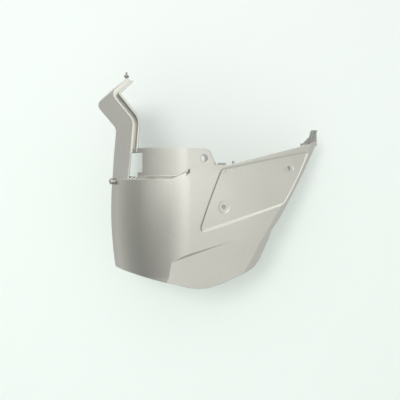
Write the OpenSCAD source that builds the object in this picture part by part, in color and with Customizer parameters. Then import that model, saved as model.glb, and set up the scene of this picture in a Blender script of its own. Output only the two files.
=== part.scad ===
// Near-side half of a scooter's front fender: one painted moulding.
// A rounded nose runs into a flat side wall that ends in a swept-back wing.
// Above the shoulder stand a set-back collar with a bolt ear, and a bent strap.
// X points out to the near side, -Y to the front of the scooter and +Z up.
// The origin is the centre of the ear's bolt hole, on the ear's outer face.
// The modules draw round the centre of the nose curve, at the shoulder's height on
// the centre plane, and fender() moves the finished moulding to that origin.

/* [Shell] */
// Plan radius of the front of the nose
nose_r = 95; // [88:1:100]
// Plan radius of the corner between the nose and the side wall
corner_r = 70; // [62:1:76]
// Wall thickness of the moulding
wall = 2.4; // [2:0.1:3]
// Radius of the gentle upright bulge of the whole skin
barrel_r = 550; // [480:10:700]
// Height of the widest line of the bulge, under the shoulder
barrel_z = -45; // [-55:1:-35]

/* [Side outline] */
// Depth of the front edge of the nose below the shoulder
nose_drop = 119; // [112:1:124]
// Depth of the lowest point of the side lobe below the shoulder
lobe_drop = 145.5; // [140:0.5:150]
// How far behind the nose centre the lobe is lowest
lobe_y = 6; // [0:1:12]
// Length of the wing, from the nose centre to its tip
wing_y = 197.5; // [192:0.5:202]
// Height of the wing tip above the shoulder
wing_z = 56; // [53:0.5:58]

/* [Lower flank] */
// Angle of the flank below the styling step, from upright
flank_tilt = 10.8; // [10:0.1:11.5]
// Angle of the styling step itself, from upright
step_tilt = 45; // [40:1:50]

/* [Badge recess] */
// Depth of the recessed panel on the wing
recess_d = 2.3; // [1.5:0.1:2.4]
// Bore of the two screw holes in the recess
screw_d = 5.5; // [5:0.1:6]
// Length of the screw bosses behind the wall
screw_boss_h = 6; // [5:0.5:8]
// Width of the shallow dish round each screw hole
dish_d = 17; // [15:0.5:19]

/* [Collar] */
// How far the collar is set back from the skin
joggle = 6; // [5.5:0.1:7]
// Height of the collar above the shoulder
collar_h = 37; // [35:0.5:40]
// Bore of the bolt hole in the ear
ear_d = 10; // [9:0.1:10.5]
// Height of the bolt hole above the shoulder
ear_z = 24.5; // [23:0.5:26]
// How far behind the nose centre the bolt hole lies
ear_y = 2; // [0:0.5:4]
// Length of the ear's boss behind the collar
ear_boss_h = 6; // [5:0.5:8]

/* [Strap] */
// Width of the raised face of the strap
strap_w = 76; // [70:1:78]
// How much narrower the strap is at its root, on each side
strap_taper = 3; // [2:0.5:5]
// Height of the raised face over its side flanges
strap_step = 5.5; // [4.5:0.1:6]
// Width of each side flange
flange_w = 7; // [5:0.5:8]
// Height of the lower bend above the shoulder
bend_z = 72; // [68:1:76]
// How far the middle of the strap reaches forward
bend_run = 29; // [26:1:31]
// How far the middle of the strap climbs
bend_rise = 32; // [30:1:35]
// Radius of the lower bend, along the face
bend_r = 12; // [8:1:16]

/* [Hidden] */
$fn = 128;
// Small overlap that lets a cut run clear of a face
eps = 0.4;
big = 400;

// The nose arc and the corner arc meet on a 3-4-5 line, so they join smoothly.
// The corner arc ends square to the side, where the flat wall takes over.
corner_c = [(nose_r - corner_r) * 0.6, -(nose_r - corner_r) * 0.8];
half_w = corner_c[0] + corner_r;
side_y = corner_c[1];

// How far the bulge has drawn the skin in at height z
function sag(z) = sqrt(barrel_r * barrel_r - (z - barrel_z) * (z - barrel_z)) - barrel_r;

// Points on a curve that leaves a, is drawn towards b and ends at c
function curve(a, b, c, n) =
    [for (i = [0:n]) let (t = i / n) (1 - t) * (1 - t) * a + 2 * t * (1 - t) * b + t * t * c];

// A closed outline with each corner rounded by its own radius
function unit(v) = v / norm(v);
function left(v) = [-v[1], v[0]];
function fillet(p, a, b, r, n) =
    let (
        u = unit(a - p),
        v = unit(b - p),
        half = acos(u * v) / 2,
        c = p + unit(u + v) * r / sin(half),
        s = p + u * r / tan(half),
        e = p + v * r / tan(half),
        a0 = atan2(s[1] - c[1], s[0] - c[0]),
        turn = atan2(e[1] - c[1], e[0] - c[0]) - a0,
        sweep = turn > 180 ? turn - 360 : turn < -180 ? turn + 360 : turn
    )
    [for (i = [0:n]) c + r * [cos(a0 + sweep * i / n), sin(a0 + sweep * i / n)]];
function rounded(pts, radii, n) =
    let (k = len(pts))
    [for (i = [0:k - 1]) each fillet(pts[i], pts[(i + k - 1) % k], pts[(i + 1) % k], radii[i], n)];
// A closed outline drawn in by d, with mitred corners
function inset(pts, d) =
    let (k = len(pts))
    [for (i = [0:k - 1])
        let (
            u = unit(pts[i] - pts[(i + k - 1) % k]),
            w = unit(pts[(i + 1) % k] - pts[i]),
            m = unit(left(u) + left(w))
        )
        pts[i] + m * d / (m * left(u))];

// Side outlines, as [y, z] points
top_edge = [[side_y - 26, -3], [side_y - 10, 4], [side_y, 10.5], [14, 16], [32, 15.5]];
bottom_edge = concat(
    curve([-nose_r - 25, -nose_drop + 6], [-60, -nose_drop - 10], [-38, -lobe_drop + 10], 8),
    curve([-30, -lobe_drop + 7.5], [-12, -lobe_drop], [lobe_y, -lobe_drop], 6),
    curve([lobe_y + 6, -lobe_drop], [lobe_y + 22, -lobe_drop + 2], [50, -lobe_drop + 10], 6),
    curve([72, -lobe_drop + 17], [91, -lobe_drop + 22], [95, -lobe_drop + 40], 8)
);
rear_edge = [[103, -85.5], [106, -73], [119.5, -57], [wing_y, wing_z]];
side_outline = concat(
    bottom_edge,
    rear_edge,
    [for (i = [4:-1:2]) top_edge[i]],
    [[side_y, 60], [-nose_r - 25, 60]]
);

// Corners of the recess: top front, bottom front, bottom rear, top rear
recess_pts = [[27.5, 10], [-10.5, -73], [127.5, -33.5], [wing_y - 17, wing_z - 12.5]];
recess_radii = [7, 5, 8, 4];
recess_run = rounded(recess_pts, recess_radii, 3);
// The walls of the recess slope from a plane laid along the bulge, 1.2 across for 1 deep
recess_slope = 1.2;
recess_foot = recess_pts[1][1];
recess_rise = recess_pts[3][1] - recess_foot;
recess_lean = atan((sag(recess_foot + recess_rise) - sag(recess_foot)) / recess_rise);
recess_bow = recess_rise * recess_rise / 8 / barrel_r;
screw_at = [[29, -38.5], [138.5, 15]];

// The rear edge runs back and up on this line, and is rolled in by this angle
rear_at = [152, 0];
rear_run = [wing_y - 119.5, wing_z + 57];
roll_angle = 22;
roll_w = 5;

// Height at which the shoulder's slope meets the collar
shoulder_z = joggle - 4.5;
// Depth of the lip turned in along the open edges
rim_depth = 6;
// The ear stands behind the side wall, over a free foot
ear_x = half_w - joggle;
ear_foot = 3;
// The slit between the side wall and the ear starts here
slit_y = side_y - 5;
// Depth of the dish round each screw hole
dish_depth = 0.6;
// Diameter and height of the locating peg at the root of the strap
peg_d = 8;
peg_z = -4.5;
// Angles round the nose at which the window between strap and collar ends
window_a = 36;
window_foot_a = 31;
window_foot_z = 6.5;
window_sill_z = -2.5;
window_top_z = 31;
// The far edge of the moulding, just past the strap's far flange
far_x = strap_w / 2 + flange_w + 2;

// Path of the strap's face from root to tip, as [y, z] points
strap_root = [-87, -4.2];
strap_bend = [-80, bend_z];
strap_knee = strap_bend + [-bend_run, bend_rise];
strap_end = strap_knee + [22, 22];
strap_lip = strap_end + [4, -3];
knee_r = strap_step + wall + 1;
strap_run = concat(
    [strap_root],
    fillet(strap_bend, strap_root, strap_knee, bend_r, 6),
    fillet(strap_knee, strap_bend, strap_end, knee_r, 6),
    [strap_end]
);
strap_path = concat(strap_run, [strap_lip]);

// An open path moved to its left by d, with mitred corners
function shifted(p, d) =
    [for (i = [0:len(p) - 1])
        let (
            u = unit(p[max(i, 1)] - p[max(i, 1) - 1]),
            w = unit(p[min(i + 1, len(p) - 1)] - p[min(i, len(p) - 2)]),
            m = unit(left(u) + left(w))
        )
        p[i] + m * d / (m * left(u))];
// The closed band between two such paths
function band(p, d0, d1) =
    let (a = shifted(p, d0), b = shifted(p, d1))
    concat(a, [for (i = [len(p) - 1:-1:0]) b[i]]);

module side_prism(pts, x0, x1)
    translate([x0, 0, 0])
        rotate([90, 0, 90])
            linear_extrude(x1 - x0)
                polygon(pts);

// Upright section of the bulging skin, set in by i
module bulge(r, i, deep, z0, z1)
    intersection() {
        translate([r - deep, z0])
            square([deep + 10, z1 - z0]);
        translate([r - barrel_r, barrel_z])
            circle(barrel_r - i, $fn = 720);
    }

// The nose and corner close in at the shoulder and run up into the collar
module shouldered(r, i, deep, z0, z1) {
    fold_z = joggle - 4.5 - 0.414 * i;
    intersection() {
        bulge(r, i, deep, z0, 20);
        polygon([
            [r - deep, z0],
            [r + 9, z0],
            [r + 9, fold_z - joggle - i - 9],
            [r - joggle - i, fold_z],
            [r - deep, fold_z]
        ]);
    }
    if (deep > joggle + i)
        translate([r - deep, z0])
            square([deep - joggle - i, z1 - z0]);
}

// The skin from inset i inwards, over nose, corner and side
module skin(i, deep, z0, z1) {
    intersection() {
        rotate_extrude()
            shouldered(nose_r, i, deep, z0, z1);
        translate([0, 0, -big / 2])
            linear_extrude(big)
                polygon([[0, 0], [0.6 * big, -0.8 * big], [-big, -0.8 * big], [-big, 0]]);
    }
    intersection() {
        translate([corner_c[0], corner_c[1], 0])
            rotate_extrude()
                shouldered(corner_r, i, deep, z0, z1);
        translate([0, 0, -big / 2])
            linear_extrude(big)
                polygon([
                    corner_c,
                    corner_c + [0.6, -0.8] * big,
                    [big, corner_c[1] - 0.8 * big],
                    [big, side_y]
                ]);
    }
    translate([0, side_y + big, 0])
        rotate([90, 0, 0])
            linear_extrude(big)
                bulge(half_w, i, deep, z0, 70);
}

// The flat flank under the styling step, cut back from the bulge
module flank_cut(i)
    translate([78.2 - i, -33, -103.8])
        rotate([0, 0, -4.1])
            rotate([15.2, 0, 0])
                rotate([90, 0, 0])
                    linear_extrude(big, center = true)
                        polygon([
                            [0, 0],
                            [-60 * tan(flank_tilt), -60],
                            [60, -60],
                            [60, 60 / tan(step_tilt)]
                        ]);

// Everything inside one sloping wall of the recess, from p to q
module recess_wall(p, q)
    translate([0, p[0], p[1]])
        rotate([atan2(q[1] - p[1], q[0] - p[0]), 0, 0])
            translate([0, big, 0])
                rotate([90, 0, 0])
                    linear_extrude(2 * big)
                        polygon([
                            [-40, 40 * recess_slope],
                            [40, -40 * recess_slope],
                            [40, big],
                            [-40, big]
                        ]);

// All the walls together, with short ones round each corner
module recess_block(i)
    translate([half_w + sag(recess_foot) + (recess_bow - recess_d) / 2 - i, 0, recess_foot])
        rotate([0, recess_lean, 0])
            translate([0, 0, -recess_foot])
                intersection_for(k = [0:len(recess_run) - 1])
                    recess_wall(recess_run[k], recess_run[(k + 1) % len(recess_run)]);

// The recess follows the bulge of the side wall
module recess_cut(i)
    intersection() {
        translate([0, side_y + big, 0])
            rotate([90, 0, 0])
                linear_extrude(big)
                    difference() {
                        bulge(half_w, -8, 30, -100, 60);
                        bulge(half_w, recess_d + i, 40, -110, 70);
                    }
        recess_block(i);
    }

// Everything behind the rolled rear edge is drawn in by the same bulge, turned
module rear_roll(i) {
    at = [half_w + sag(rear_at[1]), rear_at[0] - roll_w, rear_at[1]];
    run = unit(rear_run);
    translate(at)
        rotate(roll_angle, [0, run[0], run[1]])
            translate(-at)
                translate([0, big, 0])
                    rotate([90, 0, 0])
                        linear_extrude(2 * big)
                            bulge(half_w, i, 300, -300, 300);
}

// A solid whose surface is the skin set in by i
module mass(i, deep, z0, z1)
    difference() {
        intersection() {
            skin(i, deep, z0, z1);
            rear_roll(i);
        }
        flank_cut(i);
        recess_cut(i);
    }

// A stiffening lip turned in along the open edges of the skin
module edge_lip()
    difference() {
        intersection() {
            difference() {
                mass(wall / 2, 40, -160, shoulder_z);
                mass(rim_depth, 50, -170, 80);
            }
            side_prism(side_outline, -far_x, 200);
        }
        translate([-far_x - 1, 0, 0])
            rotate([90, 0, 90])
                linear_extrude(300)
                    offset(delta = -wall)
                        polygon(side_outline);
    }

// The skin with its shoulder and collar, open behind and below
module shell()
    intersection() {
        difference() {
            mass(0, 30, -160, collar_h);
            mass(wall, 40, -170, 80);
        }
        side_prism(side_outline, -far_x, 200);
    }

// The cheek carries the side wall's rising top edge forward to the shoulder
module cheek()
    difference() {
        intersection() {
            translate([corner_c[0], corner_c[1], 0])
                rotate_extrude()
                    difference() {
                        bulge(corner_r, 0, joggle + wall, -12, 20);
                        bulge(corner_r, joggle + wall, 30, -13, 21);
                    }
            side_prism(
                concat([[side_y - 26, -8]], [for (i = [0:2]) top_edge[i]], [[side_y, -8]]),
                50,
                120
            );
        }
        // The groove between the side wall and the ear opens behind its round root
        side_prism(
            [[slit_y, shoulder_z], [slit_y, 20], [0, 20], [0, shoulder_z]],
            half_w - joggle,
            half_w - wall
        );
    }

// The collar's free end, with the bolt ear
module ear_plate()
    side_prism(
        rounded(
            [
                [side_y - 2, ear_foot],
                [ear_y + 15, ear_foot],
                [ear_y + 17, 17],
                [ear_y + 8, collar_h - 2],
                [ear_y, collar_h],
                [side_y - 2, collar_h]
            ],
            [0.5, 3, 3, 7, 4, 0.5],
            5
        ),
        ear_x - wall,
        ear_x
    );

// A round stub that points out to the near side, from x0 to x1
module stub(at, x0, x1, d)
    translate([x0, at[0], at[1]])
        rotate([0, 90, 0])
            cylinder(h = x1 - x0, d = d);

// The recess floor at a screw hole
function floor_x(at) = half_w + sag(at[1]) - recess_d;

module bosses() {
    stub([ear_y, ear_z], ear_x - wall - ear_boss_h, ear_x - wall / 2, ear_d + 2 * wall);
    for (at = screw_at)
        stub(at, floor_x(at) - wall - screw_boss_h, floor_x(at) - wall / 2, screw_d + 2 * wall);
}

module bores() {
    stub([ear_y, ear_z], ear_x - 40, ear_x + 40, ear_d);
    for (at = screw_at) {
        stub(at, floor_x(at) - 40, floor_x(at) + 20, screw_d);
        // The dish is turned square to the draw of the mould
        translate([floor_x(at) - dish_depth, at[0], at[1]])
            rotate([0, 90, 0])
                cylinder(h = dish_depth, d1 = dish_d - 3, d2 = dish_d);
    }
    // The round root of the slit between the side wall and the ear
    stub([slit_y + 1, 6.2], half_w - joggle, half_w + 10, 3.2);
}

// The raised face tapers to its root, seen from the front
module strap_front() {
    half = strap_w / 2;
    rotate([90, 0, 0])
        linear_extrude(big, center = true)
            polygon([
                [strap_taper - half, strap_root[1] - 5],
                [half - strap_taper, strap_root[1] - 5],
                [half, window_top_z],
                [half, 200],
                [-half, 200],
                [-half, window_top_z]
            ]);
}

// Above the window the face has two side walls with flanges, which end at the collar
module strap_side() {
    half = strap_w / 2;
    intersection() {
        union() {
            side_prism(band(strap_run, 0, -strap_step - wall), half - wall, half);
            side_prism(band(strap_run, -strap_step, -strap_step - wall), half - wall, half + flange_w);
        }
        translate([0, -big / 2, window_top_z + 1])
            cube(big);
    }
}
module strap() {
    intersection() {
        side_prism(band(strap_path, 0, -wall), -strap_w / 2, strap_w / 2);
        strap_front();
    }
    strap_side();
    mirror([1, 0, 0])
        strap_side();
}

// The shoulder runs in under the strap to meet its root
module strap_ledge()
    translate([0, 0, shoulder_z - wall])
        linear_extrude(wall)
            intersection() {
                circle(nose_r - joggle);
                translate([-far_x, -nose_r])
                    square([2 * far_x, nose_r - 76.5]);
            }

// Room for the strap in the collar
module strap_gap()
    translate([-far_x - 1, -nose_r - 5, shoulder_z])
        cube([far_x + 1 + strap_w / 2, 50, 80]);

// The window between the strap and the collar has a narrower foot
module window_slot(angle, z0, z1) {
    x0 = strap_w / 2;
    translate([0, 0, z0])
        linear_extrude(z1 - z0)
            polygon([
                [x0, -x0 / tan(angle)],
                [x0, -nose_r - 10],
                [(nose_r + 10) * tan(angle), -nose_r - 10]
            ]);
}
module window() {
    window_slot(window_a, window_foot_z, window_top_z);
    window_slot(window_foot_a, window_sill_z, window_foot_z + eps);
}

// The locating peg on the centre plane, with a chamfered end
module nose_peg()
    translate([0, -nose_r + 4, peg_z])
        rotate([90, 0, 0]) {
            cylinder(h = 8.5, d = peg_d);
            translate([0, 0, 8.5 - eps])
                cylinder(h = 1.5, d1 = peg_d - 0.8, d2 = peg_d - 3.5);
        }

// The snap stud at the strap's near upper corner
module strap_stud()
    translate([strap_w / 2 - 8, strap_end[0] + 1.5, strap_end[1] - 4]) {
        cylinder(h = 13, d = 2.6);
        translate([0, 0, 7])
            cylinder(h = 1.8, d = 6.5);
    }

// Hook, gusset, lug and pegs along the wing's top edge
module wing_hook() {
    x = half_w + sag(wing_z) - 5.5;
    tip = [wing_y + 1, wing_z];
    side_prism(
        rounded([tip + [-20, -8], tip + [-12, 17], tip + [-3, 17], tip + [-2, -6]], [1, 3, 2, 1], 4),
        x,
        x + wall
    );
    // The hook's leaning front wall and its top
    side_prism([tip + [-19, -6], tip + [-12, 16], tip + [-10, 16], tip + [-17, -6]], x, x + 6);
    side_prism([tip + [-12, 14.5], tip + [-12, 16.8], tip + [-4.5, 16.8], tip + [-4.5, 14.5]], x, x + 6);
    // The gusset runs down to the wall in front of the hook
    side_prism([tip + [-31, -10], tip + [-31, -6], tip + [-17, 6], tip + [-15, -8]], x, x + wall);
    translate([half_w + sag(wing_z - 8) - wall / 2, wing_y - 34, wing_z - 16])
        cylinder(h = 12, d = wall);
}
module top_lugs() {
    side_prism([[22, 6], [22, 16.5], [24, 19.3], [33, 19.3], [33, 6]], half_w - 8.6, half_w - 4.4);
    translate([half_w + sag(20) - wall, 45.5, 12])
        cylinder(h = 10.5, d = 3);
}

module fender()
    color([0.76, 0.75, 0.70])
        translate([-ear_x, -ear_y, -ear_z])
            difference() {
                union() {
                    difference() {
                        shell();
                        strap_gap();
                    }
                    edge_lip();
                    cheek();
                    ear_plate();
                    bosses();
                    strap_ledge();
                    strap();
                    nose_peg();
                    strap_stud();
                    wing_hook();
                    top_lugs();
                }
                window();
                bores();
            }

fender();
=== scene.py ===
# %% [markdown]
# # A scooter's front fender in champagne-silver paint
# The imported CAD model is the fender itself: one moulded shell, already true in shape and
# size. What it lacks is its finish, a pale wall to hang before, soft light and a camera.
# This script gives it those, one step at a time, and adds no piece to it.
#
# ## Load the frame
# The model comes in as loose triangles, in metres. It is never moved or changed. Its box is
# kept, and the stud's mask below is measured from its top.

# %% Load the imported fender
import math

import bmesh
import bpy
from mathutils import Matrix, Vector


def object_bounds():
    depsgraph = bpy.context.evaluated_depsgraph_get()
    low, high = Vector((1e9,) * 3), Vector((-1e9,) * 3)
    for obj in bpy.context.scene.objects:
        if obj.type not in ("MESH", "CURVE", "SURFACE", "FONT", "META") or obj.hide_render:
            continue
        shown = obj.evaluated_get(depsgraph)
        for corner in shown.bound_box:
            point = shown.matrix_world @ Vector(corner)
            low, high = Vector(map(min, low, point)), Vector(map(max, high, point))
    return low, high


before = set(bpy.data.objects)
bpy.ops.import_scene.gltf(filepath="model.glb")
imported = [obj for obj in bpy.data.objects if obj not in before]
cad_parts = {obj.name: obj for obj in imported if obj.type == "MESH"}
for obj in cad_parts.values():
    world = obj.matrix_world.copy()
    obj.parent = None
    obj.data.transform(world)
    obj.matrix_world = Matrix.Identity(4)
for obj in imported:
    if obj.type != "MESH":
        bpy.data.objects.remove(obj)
cad_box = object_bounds()
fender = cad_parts["fender"]
print("fender:", len(fender.data.polygons), "triangles")
print("fender box:", [round(v, 4) for corner in cad_box for v in corner])

# %% [markdown]
# ## Where the camera stood
# The photograph was taken from close by, level with the nose, and from a little in front of
# the side. The part's origin is the ear's bolt hole, but the nose's own centre is handier to
# measure from, so the camera's place is written from there. It stands 0.61 m off and nods
# down by a degree and a bit. So near a camera makes the nose look a little larger than the
# wing's tip, as in the photograph, and a longer lens from further away would lose that.

# %% Camera
NOSE = Vector((-0.079, -0.002, -0.0245))
TOWARDS = math.radians(63)
NOD = math.radians(1.36)
back = Vector((math.sin(TOWARDS), -math.cos(TOWARDS), 0))
eye = NOSE + Vector((0.5579, -0.2483, -0.0162))
look = -back * math.cos(NOD) - Vector((0, 0, 1)) * math.sin(NOD)

lens = bpy.data.cameras.new("photo_camera")
lens.lens = 37.8
lens.sensor_width = 36
camera = bpy.data.objects.new("photo_camera", lens)
bpy.context.scene.collection.objects.link(camera)
camera.location = eye
camera.rotation_euler = look.to_track_quat("-Z", "Y").to_euler()
bpy.context.scene.camera = camera
print("camera at", [round(v, 3) for v in eye], "and", round((eye - NOSE).length, 2), "m off")

# %% [markdown]
# ## Maths on shader sockets
# A material is a small program. Drawn as nodes it is hard to follow, and written as one link
# after another it is worse. So one class wraps a socket, and an ordinary expression on such
# wires adds the Math nodes that it needs. Its other method adds any other node. It takes the
# node's settings first, because some of them change which sockets there are. Sockets are
# named with an underscore for each space, or by their number, as in `i0`.

# %% Wires that can be reckoned with
class Wire:
    """A socket in a node tree that can be used in an expression."""

    def __init__(self, tree, socket):
        self.tree, self.socket = tree, socket

    def node(self, kind, settings=None, out=0, **values):
        made = self.tree.nodes.new(kind)
        for name, value in (settings or {}).items():
            if name == "stops":
                set_stops(made.color_ramp.elements, value)
            else:
                setattr(made, name, value)
        for name, value in values.items():
            numbered = name[1:].isdigit()
            socket = made.inputs[int(name[1:]) if numbered else name.replace("_", " ")]
            if isinstance(value, Wire):
                self.tree.links.new(value.socket, socket)
            else:
                socket.default_value = value
        return Wire(self.tree, made.outputs[out])

    def math(self, operation, *terms):
        numbered = {f"i{k}": term for k, term in enumerate(terms)}
        return self.node("ShaderNodeMath", {"operation": operation}, **numbered)

    def __add__(self, other):
        return self.math("ADD", self, other)

    def __sub__(self, other):
        return self.math("SUBTRACT", self, other)

    def __rsub__(self, other):
        return self.math("SUBTRACT", other, self)

    def __mul__(self, other):
        return self.math("MULTIPLY", self, other)

    def __truediv__(self, other):
        return self.math("DIVIDE", self, other)

    def __rtruediv__(self, other):
        return self.math("DIVIDE", other, self)

    __radd__, __rmul__ = __add__, __mul__


def set_stops(ramp, stops):
    """Fill a colour ramp from places and shades, where one number is a grey."""
    while len(ramp) < len(stops):
        ramp.new(0.5)
    for stop, (at, shade) in zip(ramp, stops):
        stop.position = at
        stop.color = (*shade, 1) if isinstance(shade, tuple) else (shade, shade, shade, 1)


print("wires can be added, taken away, multiplied and divided")

# %% [markdown]
# ## Champagne-silver paint: its grain
# The moulding is plastic, sprayed with a fine metallic base coat and a thin clear coat. From
# a step back it is a warm grey. Close up it shows tiny flakes, each tilted its own way, and
# a faint orange peel where the wet spray pulled together. Four patterns stand for that, all
# on Object coordinates, so they are sized in metres and stay fixed to the moulding. Voronoi
# cells give each flake one random value. Fine noise is the orange peel, coarse noise is the
# uneven passes of the spray gun, and rough noise in between is for scuffs and plain plastic.

# %% Paint grain
def material(name):
    """A new material with its Principled shader and a wire to build on."""
    made = bpy.data.materials.new(name)
    made.use_nodes = True
    tree = made.node_tree
    shader = tree.nodes["Principled BSDF"]
    return made, shader, Wire(tree, shader.outputs[0])


FLAKES_PER_M = 2600
PEEL_PER_M = 420
paint, paint_shader, wire = material("champagne_silver_paint")
place = wire.node("ShaderNodeTexCoord", out=3)
cells = {"feature": "F1"}
flake = wire.node("ShaderNodeTexVoronoi", cells, out=1, Vector=place, Scale=FLAKES_PER_M)
flake_tilt = flake.node("ShaderNodeSeparateColor", out=0, Color=flake)
peel = wire.node("ShaderNodeTexNoise", Vector=place, Scale=PEEL_PER_M, Detail=2)
cloud = wire.node("ShaderNodeTexNoise", Vector=place, Scale=14, Detail=3)
scuff = wire.node("ShaderNodeTexNoise", Vector=place, Scale=90, Detail=6, Roughness=0.7)
print("a flake is about", round(1000 / FLAKES_PER_M, 2), "mm wide")
print("a ripple of orange peel is about", round(1000 / PEEL_PER_M, 1), "mm wide")

# %% [markdown]
# ## Two colours
# The silver is a slightly yellow grey. Each flake is a little lighter or darker, and so is
# each pass of the spray, and one ramp turns the sum of both into colour. The bare plastic
# under it is a mid grey that hardly varies, as the pigment is mixed in before moulding. The
# same grey is laid on the small fixings as painted shade.

# %% Silver paint and grey plastic
tone = 0.5 + (flake_tilt - 0.5) * 0.5 + (cloud - 0.5) * 0.4
silver_shades = [(0.0, (0.42, 0.42, 0.375)), (0.5, (0.50, 0.50, 0.45)), (1.0, (0.58, 0.58, 0.525))]
grey_shades = [(0.3, (0.295, 0.295, 0.275)), (0.7, (0.335, 0.335, 0.31))]
silver = wire.node("ShaderNodeValToRGB", {"stops": silver_shades}, Fac=tone)
grey = wire.node("ShaderNodeValToRGB", {"stops": grey_shades}, Fac=scuff)
print("shades of silver:", len(silver_shades), "and of grey plastic:", len(grey_shades))

# %% [markdown]
# ## Where the spray did not reach: the inner side
# A fender is sprayed from outside only, so its inner side stays bare. The shell is a bowl
# round an upright line through the nose's centre, with a straight wall behind. So the way
# out from that line, set beside the way the surface faces, tells outside from inside. Where
# the two point apart, it is the inner side. Behind the nose the wall is straight, and the
# way out is simply sideways, which is why the distance ahead stops at zero. A little noise
# frays the edge of the spray, and the mask rises smoothly, so no hard line is left.

# %% The bare inner side
def parts(vector):
    """The three parts of a vector, as wires."""
    split = vector.node("ShaderNodeSeparateXYZ", Vector=vector).socket.node
    return [Wire(vector.tree, socket) for socket in split.outputs]


def between(value, start, end):
    """0 up to start, 1 from end on, and a smooth step from one to the other."""
    settings = {"interpolation_type": "SMOOTHSTEP"}
    return value.node("ShaderNodeMapRange", settings, Value=value, i1=start, i2=end)


x, y, z = parts(place)
face_x, face_y = parts(wire.node("ShaderNodeTexCoord", out=1))[:2]
beside = x - NOSE.x
along = y - NOSE.y
ahead = along.math("MINIMUM", along, 0)
reach = beside.math("SQRT", beside * beside + ahead * ahead)
outward = (face_x * beside + face_y * ahead) / reach
FRAY = 0.3
inside = between(outward + (scuff - 0.5) * FRAY, -0.15, -0.45)
print("nodes for the grain, the colours and the inner side:", len(wire.tree.nodes))

# %% [markdown]
# ## Painted shade on the small fixings
# In the photograph the lug, the pegs and the hook over the wing's top edge look darker than
# the paint, and so does the snap stud on the strap. That dark is painted shade: they are
# given the bare plastic's grey, not metallic and rougher. All that stands above the line of
# the wing's top edge is a fixing, so that one straight line is the mask, with a level start
# at the ear. The stud is all that reaches higher than the strap. The larger of the masks at
# each point joins them: painted shade on the fixings, bare plastic on the inner side.

# %% Painted shade on the fixings
WING_SLOPE = (0.056 - 0.0155) / (0.1975 - 0.032)
WING_START = 0.032
WING_EDGE = 0.0161
EAR_EDGE = 0.0164
STUD_LENGTH = 0.0088

wing_top = WING_EDGE + (along - WING_START) * WING_SLOPE
wing_top = along.math("MAXIMUM", wing_top, EAR_EDGE)
# Painted shade: the fixings above the wing's top edge get the plastic's grey.
painted_shade_on_fixings = between(z - NOSE.z - wing_top, 0.0, 0.0008) * between(along, 0.016, 0.018)
stud_foot = cad_box[1][2] - STUD_LENGTH
# Painted shade on the snap stud, the same grey.
painted_shade_on_stud = between(z, stud_foot, stud_foot + 0.0006)
# One mask: bare plastic on the inner side, painted shade on the fixings.
bare_plastic_and_painted_shade = inside.math("MAXIMUM", inside, painted_shade_on_fixings)
bare_plastic_and_painted_shade = bare_plastic_and_painted_shade.math("MAXIMUM", bare_plastic_and_painted_shade, painted_shade_on_stud)
print("the wing's top edge climbs", round(math.degrees(math.atan(WING_SLOPE)), 1), "degrees")

# %% [markdown]
# ## Gloss and relief
# Paint with metal flakes mirrors the room, but far more softly than metal, so it is nearly
# metallic and fairly rough. Bare plastic is not metallic at all, and rougher. Flakes, orange
# peel and the grain of the plastic are far too fine for geometry, so they go into a Bump.
#
# A moulded edge is never sharp, and paint rounds it further. Cutting such a radius into the
# mesh would change the CAD shape. The Bevel node only bends the shading near each edge, by
# a radius of 1.6 mm, and the Bump is laid over it.

# %% Gloss and relief
EDGE_RADIUS = 0.0016
PLASTIC_ROUGHNESS = 0.52

# Silver, and grey where the mask is full: bare plastic inside, painted shade on the fixings.
colour = wire.node("ShaderNodeMix", {"data_type": "RGBA"}, out=2, i0=bare_plastic_and_painted_shade, i6=silver, i7=grey)
metal = 0.95 * (1 - bare_plastic_and_painted_shade)
sprayed = 0.30 + (cloud - 0.5) * 0.08 + (scuff - 0.5) * 0.08
roughness = sprayed + (PLASTIC_ROUGHNESS - sprayed) * bare_plastic_and_painted_shade
height = (peel * 0.6 + flake_tilt * 0.4) * (1 - bare_plastic_and_painted_shade) + (peel + scuff * 0.4) * bare_plastic_and_painted_shade
rounded = wire.node("ShaderNodeBevel", {"samples": 8}, Radius=EDGE_RADIUS)
relief = wire.node("ShaderNodeBump", Height=height, Strength=0.08, Distance=0.0004, Normal=rounded)
print("edges are shaded round by", EDGE_RADIUS * 1000, "mm")

# %% [markdown]
# ## Put the paint on
# What varies over the moulding is linked to its sockets. What is the same all over is set on
# the shader's own socket. The clear coat is thin and softer than the base, so it is weak and
# rough. Specular Tint is what a metallic surface mirrors when seen along itself. White would
# make such faces flash like chrome, and flakes in lacquer stay dimmer, so it is a grey.

# %% Put the paint on
for name, source in {
    "Base Color": colour, "Metallic": metal, "Roughness": roughness, "Normal": relief,
}.items():
    wire.tree.links.new(source.socket, paint_shader.inputs[name])
paint_shader.inputs["Specular Tint"].default_value = (0.6, 0.6, 0.6, 1)
paint_shader.inputs["Coat Weight"].default_value = 0.1
paint_shader.inputs["Coat Roughness"].default_value = 0.25
fender.data.materials.clear()
fender.data.materials.append(paint)
print("paint nodes:", len(wire.tree.nodes))

# %% [markdown]
# ## The line that floor and wall follow
# In the photograph a pale wall stands close behind the fender and takes its soft shadow.
# Here floor and wall are one sheet, bent in a wide curve as a photographer's paper is, so no
# line shows where one turns to the other. First its side view is drawn as a row of points:
# the floor's front edge, a quarter circle, and the wall's top.

# %% Backdrop's side view
WALL_GAP = 0.085
FLOOR_DROP = 0.9
FLOOR_REACH = 2.0
WALL_RISE = 1.2
BEND = 0.25
BEND_STEPS = 12

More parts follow.
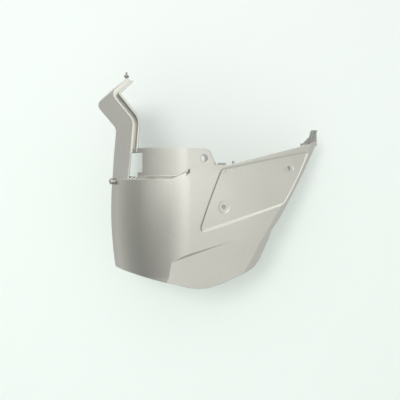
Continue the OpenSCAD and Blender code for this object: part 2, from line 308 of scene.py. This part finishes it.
wall_foot = NOSE - back * WALL_GAP - Vector((0, 0, FLOOR_DROP))
profile = [wall_foot + back * FLOOR_REACH]
for step in range(BEND_STEPS + 1):
    angle = math.radians(90 * step / BEND_STEPS)
    forward = BEND * (1 - math.sin(angle))
    upward = BEND * (1 - math.cos(angle))
    profile.append(wall_foot + back * forward + Vector((0, 0, upward)))
profile.append(wall_foot + Vector((0, 0, FLOOR_DROP + WALL_RISE)))
print("points along the backdrop:", len(profile))

# %% [markdown]
# ## Pull the line out to a sheet
# The points are joined by edges, and one extrude pulls those edges sideways to faces. Which
# way such faces point depends on how the edges lie. The wall's colour below needs to know
# front from back, so each face is checked, and those turned away are reversed. A direction
# halfway between up and the camera is in front of floor, bend and wall alike.

# %% Sheet
HALF_WIDTH = 3.0
across = Vector((math.cos(TOWARDS), math.sin(TOWARDS), 0))
front = back + Vector((0, 0, 1))


def sheet(name, profile):
    """A smooth sheet, pulled sideways from a drawn profile."""
    mesh = bmesh.new()
    rail = [mesh.verts.new(point - across * HALF_WIDTH) for point in profile]
    edges = [mesh.edges.new(pair) for pair in zip(rail, rail[1:])]
    swept = bmesh.ops.extrude_edge_only(mesh, edges=edges)["geom"]
    pulled = [v for v in swept if isinstance(v, bmesh.types.BMVert)]
    bmesh.ops.translate(mesh, verts=pulled, vec=across * (2 * HALF_WIDTH))
    mesh.normal_update()
    turned_away = [face for face in mesh.faces if face.normal.dot(front) < 0]
    bmesh.ops.reverse_faces(mesh, faces=turned_away)
    for face in mesh.faces:
        face.smooth = True
    data = bpy.data.meshes.new(name)
    mesh.to_mesh(data)
    mesh.free()
    made = bpy.data.objects.new(name, data)
    bpy.context.scene.collection.objects.link(made)
    return made


backdrop = sheet("backdrop", profile)
facing_front = sum(face.normal.dot(front) > 0 for face in backdrop.data.polygons)
print("backdrop faces:", len(backdrop.data.polygons), "and turned to the front:", facing_front)

# %% [markdown]
# ## The wall's paint
# The wall is matt, and its white has a breath of green, as in the photograph. So that the
# fender's inner side can be looked at too, the sheet can be seen through from behind. Its
# back faces are mixed to Transparent, which is why all faces had to point to the front.

# %% Paint the wall
pale, pale_shader, pale_wire = material("pale_wall")
pale_shader.inputs["Base Color"].default_value = (0.87, 0.92, 0.885, 1)
pale_shader.inputs["Roughness"].default_value = 0.9
behind = pale_wire.node("ShaderNodeNewGeometry", out=6)
clear = pale_wire.node("ShaderNodeBsdfTransparent")
one_sided = pale_wire.node("ShaderNodeMixShader", i0=behind, i1=pale_wire, i2=clear)
surface = pale_wire.tree.nodes["Material Output"].inputs["Surface"]
pale_wire.tree.links.new(one_sided.socket, surface)
backdrop.data.materials.append(pale)
backdrop.visible_glossy = False
print("wall", WALL_GAP * 1000, "mm behind the nose's centre, in", backdrop.data.materials[0].name)

# %% [markdown]
# ## One soft lamp
# The shadows in the photograph are soft and fall a little down and to the right. So one
# wide square lamp stands above the camera and to its left. A smaller lamp would draw hard
# shadows, and one from the right would put them on the wrong side. It too is kept out of
# reflections, because a lamp mirrored in so smooth a curve would leave one bright stripe.

# %% Softbox
LAMP_TURN = math.radians(-15)
LAMP_AWAY = 1.3
LAMP_RISE = 0.28
aim = NOSE + Vector((0.03, 0.03, -0.03))
lit_from = back * math.cos(LAMP_TURN) + across * math.sin(LAMP_TURN)

lamp = bpy.data.lights.new("key_softbox", "AREA")
lamp.shape = "SQUARE"
lamp.size = 0.36
lamp.energy = 5.2
key = bpy.data.objects.new("key_softbox", lamp)
key.location = aim + lit_from * LAMP_AWAY + Vector((0, 0, LAMP_RISE))
key.rotation_euler = (aim - key.location).to_track_quat("-Z", "Y").to_euler()
key.visible_glossy = False
bpy.context.scene.collection.objects.link(key)
print("lamp at", [round(v, 2) for v in key.location], "with", round(lamp.energy, 1), "W")

# %% [markdown]
# ## The room, as the paint mirrors it
# Metallic paint shows mostly what it mirrors. In an even room it looks like flat grey card,
# and the dark and light bands on the nose are the dim end of a room and its window. So the
# world gets a room, written as a short table: how bright it is at each bearing, low down
# and higher up. Bearings go round an upright line and start from the side where the
# photographer stood. They belong to the room, so they stay put when the camera moves.
#
# For each ray, its parts ahead, aside and up are found, and the first two give its bearing.

# %% Bearings round the room
room = bpy.data.worlds.new("room")
room.use_nodes = True
bpy.context.scene.world = room
backing = room.node_tree.nodes["Background"]
air = Wire(room.node_tree, backing.outputs[0])

ray = air.node("ShaderNodeTexCoord", out=0)
dot = {"operation": "DOT_PRODUCT"}
ray_ahead = air.node("ShaderNodeVectorMath", dot, out=1, i0=ray, i1=back)
ray_aside = air.node("ShaderNodeVectorMath", dot, out=1, i0=ray, i1=across)
ray_up = air.node("ShaderNodeSeparateXYZ", out=2, Vector=ray)
bearing = ray_aside.math("ARCTAN2", ray_aside, ray_ahead) * (0.5 / math.pi) + 0.5
print("bearings run from 0 to 1, with the photographer at 0.5")

# %% [markdown]
# ## How bright the walls are
# Ordinary words for a room go with the rows of the table, because it is easier to set the
# light by them: a dark doorway beside the nose, a window by the wing. A colour ramp looks a
# bearing up and blends from row to row. It holds numbers from 0 to 1 only, so the brightness
# is scaled down on its way in and up again on its way out. Between low down and higher up,
# the two columns are mixed by how far the ray climbs.

# %% The room's walls
BRIGHTEST = 2.5
# bearing in degrees, how bright low down, how bright higher up
walls = [
    (-180, 0.85, 0.90),  # the wall that the fender hangs on
    (-125, 1.04, 1.02),  # a pale side wall
    (-93, 0.54, 0.62),  # an open door, dark beyond it
    (-66, 0.38, 0.55),
    (-45, 0.44, 1.03),  # the dim end of the room
    (-10, 0.58, 1.36),
    (7, 0.70, 1.52),
    (25, 1.00, 1.62),
    (40, 1.32, 2.30),  # the window
    (50, 1.26, 1.90),
    (63, 1.02, 0.98),  # the pale wall beside the window
    (180, 0.85, 0.90),
]


def all_round(column):
    """The room's brightness at every bearing, from one column of the table."""
    stops = [(0.5 + row[0] / 360, row[column] / BRIGHTEST) for row in walls]
    shade = air.node("ShaderNodeValToRGB", {"stops": stops}, Fac=bearing)
    return shade.node("ShaderNodeSeparateColor", out=0, Color=shade) * BRIGHTEST


low, high = all_round(1), all_round(2)
mirrored = low + (high - low) * between(ray_up, -0.28, 0.32)
print("brightness of the walls from", min(row[1] for row in walls), "to", max(row[2] for row in walls))

# %% [markdown]
# ## High up in the room
# The rear wall of the recess and the shoulder lean back, so they mirror what is high up in
# the room. In the photograph both are bright lines. So a pale strip runs over the window's
# side and the middle, and the ceiling above it is paler towards the window too.

# %% Strip and ceiling
strip = 0.95 + 1.15 * between(ray_aside, -0.45, -0.1) * between(ray_aside, 0.75, 0.45)
ceiling = 1.15 + 0.75 * between(ray_aside, 0.2, 0.45)
mirrored = mirrored + (strip - mirrored) * between(ray_up, 0.25, 0.42)
mirrored = mirrored + (ceiling - mirrored) * between(ray_up, 0.6, 0.85)
print("room nodes:", len(room.node_tree.nodes))

# %% [markdown]
# ## Even light for all the rest
# Only mirrored rays look the table up, by Light Path's Is Glossy Ray. Every other ray gets
# one even level. With the lamp it comes to about 1, at which a plain colour renders about as
# it is written. Where the camera looks past the sheet, it sees the wall's own pale tint. The
# view transform is Standard, which leaves colours as they are.

# %% Light the room
EVEN = 0.83
is_mirrored = air.node("ShaderNodeLightPath", out=3)
is_seen = air.node("ShaderNodeLightPath", out=0)
level = is_mirrored * (mirrored - EVEN) + EVEN
white, wall_tint = (1, 1, 1, 1), (1.04, 1.12, 1.06, 1)
tint = air.node("ShaderNodeMix", {"data_type": "RGBA"}, out=2, i0=is_seen, i6=white, i7=wall_tint)
room.node_tree.links.new(tint.socket, backing.inputs["Color"])
room.node_tree.links.new(level.socket, backing.inputs["Strength"])
bpy.context.scene.view_settings.view_transform = "Standard"
